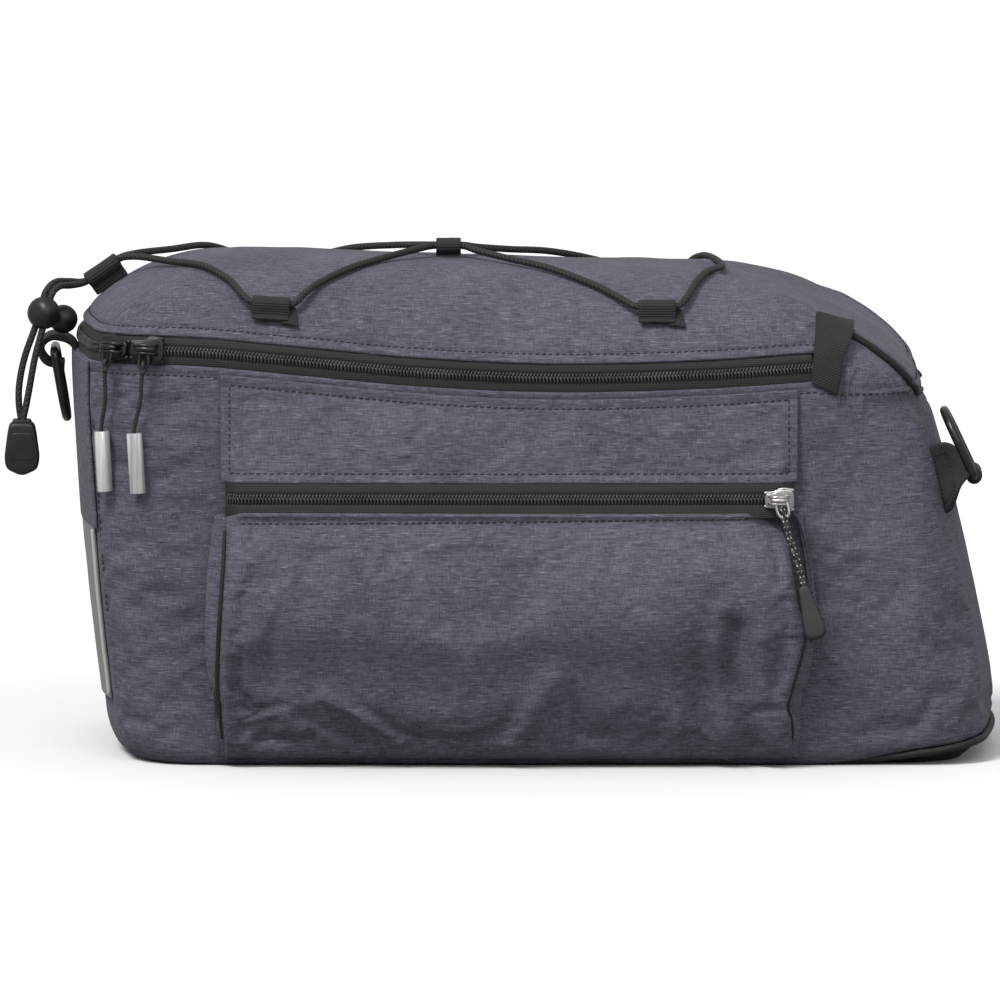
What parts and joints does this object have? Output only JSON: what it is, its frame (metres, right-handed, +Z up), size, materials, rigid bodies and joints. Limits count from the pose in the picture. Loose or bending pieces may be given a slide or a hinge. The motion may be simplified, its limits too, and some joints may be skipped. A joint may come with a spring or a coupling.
{
  "type": "bicycle rack bag",
  "caption": "Padded fabric bag for a bicycle's rear rack: zipped lid with laced elastic cord, bulging zipped side pockets, and a D-ring at each end.",
  "frame": {"origin": "middle of the flat base, on the plane that it rests on", "axes": "+Z up, +X towards the slanted front end, -Y towards the side that the picture shows"},
  "size_m": [0.4284, 0.225, 0.2213],
  "materials": {
    "body_fabric": "heathered woven polyester",
    "base_fabric": "coarse black woven fabric",
    "zip_tape": "black woven tape",
    "zip_coil": "black nylon coil",
    "webbing": "black ribbed webbing",
    "cord": "braided sleeve",
    "black_metal": "satin black",
    "bright_metal": "satin",
    "nickel": "polished nickel plate",
    "black_plastic": "satin moulded",
    "reflective": "silver-grey reflective cloth"
  },
  "bodies": {
    "bag": {"body_shell": "body_fabric", "base_panel": "base_fabric", "base_piping": "base_fabric", "rear_flap": "body_fabric", "reflective_panel": "reflective", "lid": "body_fabric", "main_zip_tape": "zip_tape", "main_zip_coil": "zip_coil", "zip_end_tab_near": "webbing", "zip_end_tab_far": "webbing", "pocket_pouch_near": "body_fabric", "pocket_pouch_far": "body_fabric", "pocket_panel_near": "body_fabric", "pocket_panel_far": "body_fabric", "pocket_zip_tape_near": "zip_tape", "pocket_zip_tape_far": "zip_tape", "pocket_zip_coil_near": "zip_coil", "pocket_zip_coil_far": "zip_coil", "pocket_slider_near": "nickel", "pocket_slider_far": "nickel", "pocket_pull_cord_near": "cord", "pocket_pull_cord_far": "cord", "pocket_pull_grip_near": "black_plastic", "pocket_pull_grip_far": "black_plastic", "main_slider_rear": "black_metal", "main_slider_front": "black_metal", "pull_cord_rear": "cord", "pull_cord_front": "cord", "pull_tube_rear": "bright_metal", "pull_tube_front": "bright_metal", "cord_loop_rear_near": "webbing", "cord_loop_rear_far": "webbing", "cord_loop_front_near": "webbing", "cord_loop_front_far": "webbing", "cord_loop_centre": "webbing", "cord_loop_end": "webbing", "elastic_cord": "cord", "cord_tail_near": "cord", "cord_tail_far": "cord", "cord_lock": "black_plastic", "cord_stopper": "black_plastic", "rear_tab": "webbing", "front_tab": "webbing"},
    "rear_ring": {"rear_ring": "black_plastic"},
    "front_ring": {"front_ring": "black_plastic"},
    "lock_button": {"cord_lock_button": "black_plastic"}
  },
  "joints": [
    {"name": "rear_ring_hinge", "type": "hinge", "parent": "bag", "child": "rear_ring", "pos_m": [-0.208, 0, 0.172], "axis": [0, 1, 0], "range_deg": [0, 120]},
    {"name": "front_ring_hinge", "type": "hinge", "parent": "bag", "child": "front_ring", "pos_m": [0.18871, -0.046, 0.123], "axis": [0, 1, 0], "range_deg": [0, 190]},
    {"name": "lock_button_slide", "type": "slide", "parent": "bag", "child": "lock_button", "axis": [-0.5407, -0.8009, 0.2573], "range_m": [0, 0.002], "stiffness_N_per_m": 600, "springref_m": -0.003}
  ]
}
